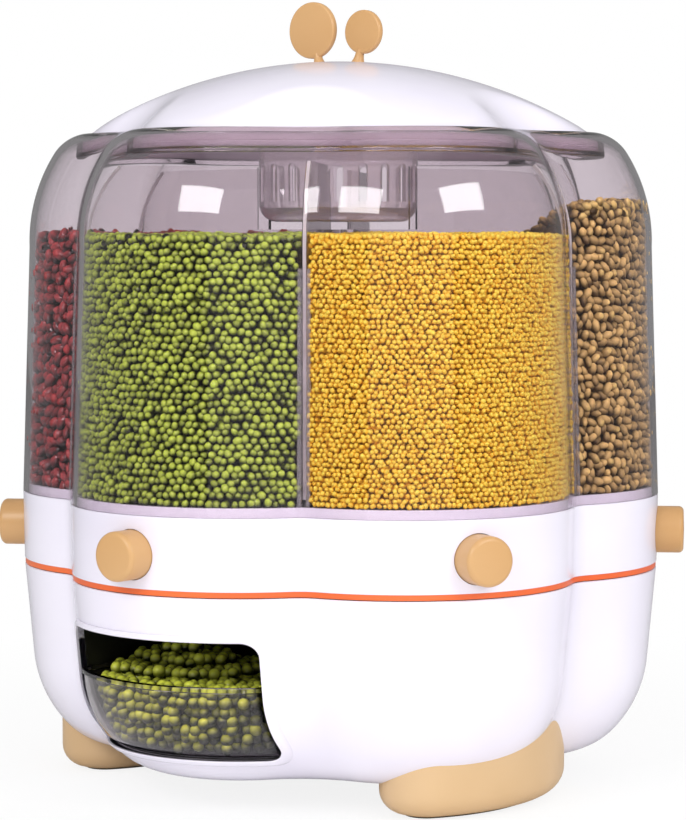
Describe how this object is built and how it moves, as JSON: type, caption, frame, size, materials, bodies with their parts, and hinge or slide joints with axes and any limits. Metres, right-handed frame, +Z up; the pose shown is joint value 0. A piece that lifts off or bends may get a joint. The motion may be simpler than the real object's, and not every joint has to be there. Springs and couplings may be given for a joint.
{
  "type": "rotating grain dispenser",
  "caption": "Lobed clear hopper that turns on a white base, with a push button and sliding gate for each compartment, a domed lid and a measuring cup under the outlet.",
  "frame": {"origin": "on the turning axis at floor level, under the middle of the soles", "axes": "+Z up along the turning axis; -Y is the front, where the outlet and the measuring cup are; +X to the right seen from the front"},
  "size_m": [0.2804, 0.3136, 0.3506],
  "materials": {
    "white_shell": "glossy moulded ABS, cool white",
    "white_inner": "plain moulded plastic, satin",
    "clear": "clear moulded styrene, faint rose-grey tint",
    "tan": "semi-gloss moulded ABS, light wood tan",
    "orange": "semi-gloss moulded plastic, orange",
    "dark_liner": "satin moulded plastic, charcoal",
    "pad_rubber": "soft matt rubber",
    "seal_silicone": "soft silicone, grey",
    "steel": "bright zinc-plated steel"
  },
  "bodies": {
    "base": {"base_shell": "white_shell", "base_deck": "white_inner", "drop_chute": "white_inner", "cup_bay": "dark_liner", "foot_left": "tan", "foot_right": "tan", "foot_rear": "tan", "foot_pads": "pad_rubber", "foot_screws": "steel", "deck_screws": "steel", "lower_race": "steel", "thrust_washer": "steel", "pivot_screw": "steel"},
    "bearing_cage": {"roller_cage": "white_inner", "rollers": "steel"},
    "carousel": {"turntable": "orange", "upper_race": "steel", "pivot_bush": "dark_liner", "ring_housing": "white_shell", "floor_tray": "white_shell", "floor_cone": "white_shell", "hopper_shell": "clear", "divider_star": "clear", "ring_screws": "steel", "gate_springs": "steel"},
    "gate_1": {"gate_1": "white_inner", "button_1": "tan"},
    "gate_2": {"gate_2": "white_inner", "button_2": "tan"},
    "gate_3": {"gate_3": "white_inner", "button_3": "tan"},
    "gate_4": {"gate_4": "white_inner", "button_4": "tan"},
    "gate_5": {"gate_5": "white_inner", "button_5": "tan"},
    "gate_6": {"gate_6": "white_inner", "button_6": "tan"},
    "lid": {"lid_frame": "clear", "lid_seal": "seal_silicone", "lid_dome": "white_shell", "lid_screws": "steel", "antenna_large": "tan", "antenna_small": "tan", "desiccant_basket": "clear"},
    "cup": {"measuring_cup": "clear"}
  },
  "joints": [
    {"name": "carousel_turn", "type": "hinge", "parent": "base", "child": "carousel", "pos_m": [0, 0, 0], "axis": [0, 0, 1], "continuous": true},
    {"name": "cage_turn", "type": "hinge", "parent": "base", "child": "bearing_cage", "pos_m": [0, 0, 0], "axis": [0, 0, 1], "continuous": true},
    {"name": "press_1", "type": "slide", "parent": "carousel", "child": "gate_1", "axis": [0, 1, 0], "range_m": [0, 0.0108], "stiffness_N_per_m": 300, "springref_m": -0.006, "deforming": ["gate_springs"]},
    {"name": "press_2", "type": "slide", "parent": "carousel", "child": "gate_2", "axis": [-0.866, 0.5, 0], "range_m": [0, 0.0108], "stiffness_N_per_m": 300, "springref_m": -0.006, "deforming": ["gate_springs"]},
    {"name": "press_3", "type": "slide", "parent": "carousel", "child": "gate_3", "axis": [-0.866, -0.5, 0], "range_m": [0, 0.0108], "stiffness_N_per_m": 300, "springref_m": -0.006, "deforming": ["gate_springs"]},
    {"name": "press_4", "type": "slide", "parent": "carousel", "child": "gate_4", "axis": [0, -1, 0], "range_m": [0, 0.0108], "stiffness_N_per_m": 300, "springref_m": -0.006, "deforming": ["gate_springs"]},
    {"name": "press_5", "type": "slide", "parent": "carousel", "child": "gate_5", "axis": [0.866, -0.5, 0], "range_m": [0, 0.0108], "stiffness_N_per_m": 300, "springref_m": -0.006, "deforming": ["gate_springs"]},
    {"name": "press_6", "type": "slide", "parent": "carousel", "child": "gate_6", "axis": [0.866, 0.5, 0], "range_m": [0, 0.0108], "stiffness_N_per_m": 300, "springref_m": -0.006, "deforming": ["gate_springs"]},
    {"name": "lid_lift", "type": "slide", "parent": "carousel", "child": "lid", "axis": [0, 0, 1], "range_m": [0, 0.08]},
    {"name": "cup_slide", "type": "slide", "parent": "base", "child": "cup", "axis": [0, -1, 0], "range_m": [0, 0.11]}
  ],
  "couplings": [
    {"joint": "cage_turn", "follows": "carousel_turn", "ratio": 0.5}
  ]
}
